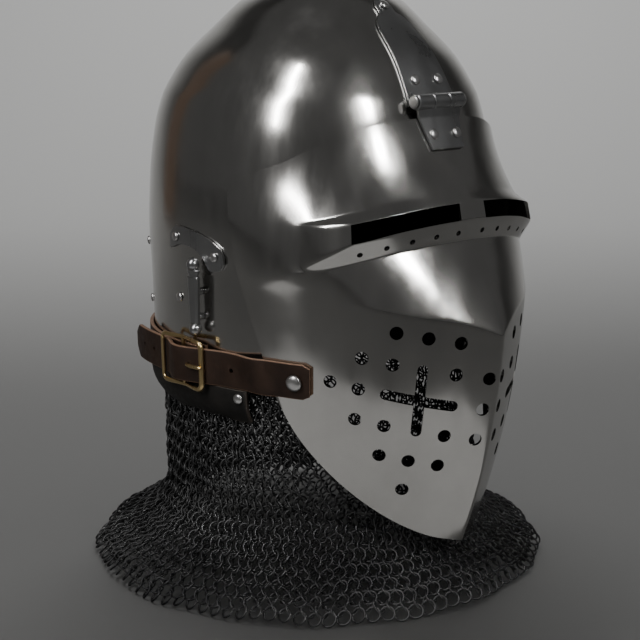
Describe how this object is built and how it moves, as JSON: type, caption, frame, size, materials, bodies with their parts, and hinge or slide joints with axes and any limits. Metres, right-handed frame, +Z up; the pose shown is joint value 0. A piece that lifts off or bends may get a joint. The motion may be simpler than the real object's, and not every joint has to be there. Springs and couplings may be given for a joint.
{
  "type": "visored bascinet with a brow-hinged snouted visor (klappvisor) and mail aventail",
  "caption": "Tall pointed steel helmet with a brow-hinged snouted visor, eye slits, pierced breaths, a buckled visor strap and a flared mail curtain.",
  "frame": {"origin": "the seat of the head inside the crown, on the helmet's centre line", "axes": "+Z up through the apex, -Y the way the visor faces, -X the wearer's right"},
  "size_m": [0.304, 0.3172, 0.3818],
  "materials": {
    "polished_steel": "brushed and polished, slightly darkened",
    "dark_steel": "dull forged steel",
    "brass": "worn polished brass",
    "tan_leather": "waxed brown leather with pale cut edges",
    "black_leather": "dull black-brown leather",
    "mail_steel": "oiled steel wire"
  },
  "bodies": {
    "root": {"skull": "polished_steel", "visor": "polished_steel", "hinge_upper_leaf": "polished_steel", "hinge_lower_leaf": "polished_steel", "hinge_pin": "dark_steel", "side_plate_right": "polished_steel", "side_bar_right": "polished_steel", "side_plate_left": "polished_steel", "side_bar_left": "polished_steel", "hinge_rivet_apex": "polished_steel", "hinge_rivet_upper_right": "polished_steel", "hinge_rivet_upper_left": "polished_steel", "hinge_rivet_lower_right": "polished_steel", "hinge_rivet_lower_left": "polished_steel", "skull_rivet_right_plate_back": "polished_steel", "skull_rivet_right_plate_front": "polished_steel", "skull_rivet_right_low": "polished_steel", "skull_rivet_right_rear_top": "polished_steel", "skull_rivet_right_rear_low": "polished_steel", "strap_rivet_right": "polished_steel", "band_rivet_right": "polished_steel", "skull_rivet_left_plate_back": "polished_steel", "skull_rivet_left_plate_front": "polished_steel", "skull_rivet_left_low": "polished_steel", "skull_rivet_left_rear_top": "polished_steel", "skull_rivet_left_rear_low": "polished_steel", "strap_rivet_left": "polished_steel", "band_rivet_left": "polished_steel", "strap_front": "tan_leather", "strap_back": "tan_leather", "buckle_frame": "brass", "buckle_pin": "brass", "aventail_band": "black_leather", "aventail_mail": "mail_steel"}
  },
  "joints": []
}
